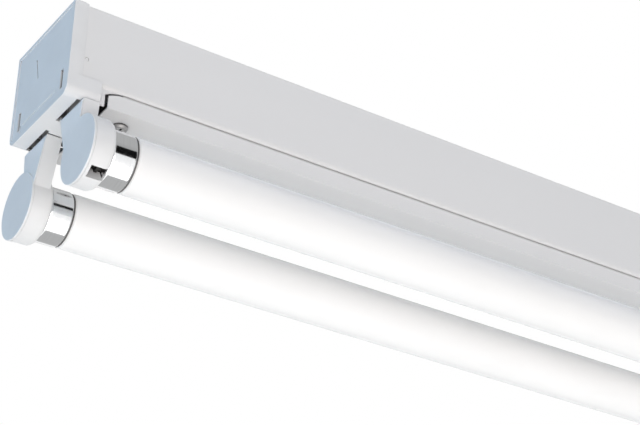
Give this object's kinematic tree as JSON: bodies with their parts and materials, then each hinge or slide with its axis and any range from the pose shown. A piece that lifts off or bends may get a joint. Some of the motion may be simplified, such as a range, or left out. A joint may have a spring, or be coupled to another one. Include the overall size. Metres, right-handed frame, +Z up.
{
  "type": "led tube light fixture",
  "caption": "Slim ceiling batten light: opal glass LED tubes in twist-lock lampholders under a white folded-steel spine.",
  "frame": {"origin": "centre of the ceiling face, the flat top of the spine", "axes": "+X along the fixture, +Y across it from the front tube to the rear tube, +Z up into the ceiling"},
  "size_m": [1.2358, 0.0918, 0.0911],
  "materials": {
    "painted_steel": "white powder coat, satin",
    "screw_steel": "bright zinc plated",
    "end_cap_plastic": "white moulded polycarbonate, fine texture",
    "zinc_steel": "galvanised sheet",
    "terminal_plastic": "natural moulded polyamide",
    "brass": "machined",
    "spring_bronze": "rolled spring strip",
    "tinned_copper": "tinned",
    "bush_rubber": "moulded",
    "brown_pvc": "extruded insulation",
    "blue_pvc": "extruded insulation",
    "earth_pvc": "extruded insulation, green and yellow",
    "holder_plastic": "white moulded polycarbonate, satin",
    "rotor_plastic": "dark moulded",
    "opal_glass": "opal inner coat",
    "cap_metal": "polished",
    "cement": "cured cement",
    "insulator_plastic": "moulded",
    "led_board": "white solder resist",
    "led_phosphor": "phosphor in white packages",
    "adhesive": "cured silicone",
    "driver_parts": "moulded component bodies",
    "lead_wire": "extruded insulation"
  },
  "bodies": {
    "fixture": {"spine": "painted_steel", "cover": "painted_steel", "cover_screws": "screw_steel", "terminal_block": "terminal_plastic", "terminal_sleeves": "brass", "terminal_screws": "screw_steel", "earth_stud": "screw_steel", "earth_nut": "screw_steel", "earth_ring": "tinned_copper", "cable_bush": "bush_rubber", "live_wires": "brown_pvc", "neutral_wires": "blue_pvc", "earth_wire": "earth_pvc", "end_cap_left": "end_cap_plastic", "end_bracket_left": "zinc_steel", "end_cap_right": "end_cap_plastic", "end_bracket_right": "zinc_steel", "lampholder_left_front": "holder_plastic", "lampholder_back_left_front": "holder_plastic", "contacts_left_front": "spring_bronze", "lampholder_left_rear": "holder_plastic", "lampholder_back_left_rear": "holder_plastic", "contacts_left_rear": "spring_bronze", "lampholder_right_front": "holder_plastic", "lampholder_back_right_front": "holder_plastic", "contacts_right_front": "spring_bronze", "lampholder_right_rear": "holder_plastic", "lampholder_back_right_rear": "holder_plastic", "contacts_right_rear": "spring_bronze"},
    "tube_front": {"tube_glass_front": "opal_glass", "led_board_front": "led_board", "led_chips_front": "led_phosphor", "led_adhesive_front": "adhesive", "driver_parts_front": "driver_parts", "tube_leads_front": "lead_wire", "tube_cap_left_front": "cap_metal", "pin_insulator_left_front": "insulator_plastic", "pins_left_front": "brass", "tube_cap_right_front": "cap_metal", "pin_insulator_right_front": "insulator_plastic", "pins_right_front": "brass", "cap_cement_front": "cement"},
    "tube_rear": {"tube_glass_rear": "opal_glass", "led_board_rear": "led_board", "led_chips_rear": "led_phosphor", "led_adhesive_rear": "adhesive", "driver_parts_rear": "driver_parts", "tube_leads_rear": "lead_wire", "tube_cap_left_rear": "cap_metal", "pin_insulator_left_rear": "insulator_plastic", "pins_left_rear": "brass", "tube_cap_right_rear": "cap_metal", "pin_insulator_right_rear": "insulator_plastic", "pins_right_rear": "brass", "cap_cement_rear": "cement"},
    "rotor_left_front": {"rotor_left_front": "rotor_plastic"},
    "rotor_left_rear": {"rotor_left_rear": "rotor_plastic"},
    "rotor_right_front": {"rotor_right_front": "rotor_plastic"},
    "rotor_right_rear": {"rotor_right_rear": "rotor_plastic"}
  },
  "joints": [
    {"name": "tube_front_turn", "type": "hinge", "parent": "fixture", "child": "tube_front", "pos_m": [0, -0.03, -0.0752], "axis": [1, 0, 0], "range_deg": [-90, 90]},
    {"name": "rotor_left_front_turn", "type": "hinge", "parent": "fixture", "child": "rotor_left_front", "pos_m": [-0.6046, -0.03, -0.0752], "axis": [1, 0, 0], "range_deg": [-90, 90]},
    {"name": "rotor_right_front_turn", "type": "hinge", "parent": "fixture", "child": "rotor_right_front", "pos_m": [0.6046, -0.03, -0.0752], "axis": [1, 0, 0], "range_deg": [-90, 90]},
    {"name": "tube_rear_turn", "type": "hinge", "parent": "fixture", "child": "tube_rear", "pos_m": [0, 0.03, -0.0752], "axis": [1, 0, 0], "range_deg": [-90, 90]},
    {"name": "rotor_left_rear_turn", "type": "hinge", "parent": "fixture", "child": "rotor_left_rear", "pos_m": [-0.6046, 0.03, -0.0752], "axis": [1, 0, 0], "range_deg": [-90, 90]},
    {"name": "rotor_right_rear_turn", "type": "hinge", "parent": "fixture", "child": "rotor_right_rear", "pos_m": [0.6046, 0.03, -0.0752], "axis": [1, 0, 0], "range_deg": [-90, 90]}
  ],
  "couplings": [
    {"joint": "rotor_left_front_turn", "follows": "tube_front_turn", "ratio": 1},
    {"joint": "rotor_right_front_turn", "follows": "tube_front_turn", "ratio": 1},
    {"joint": "rotor_left_rear_turn", "follows": "tube_rear_turn", "ratio": 1},
    {"joint": "rotor_right_rear_turn", "follows": "tube_rear_turn", "ratio": 1}
  ]
}
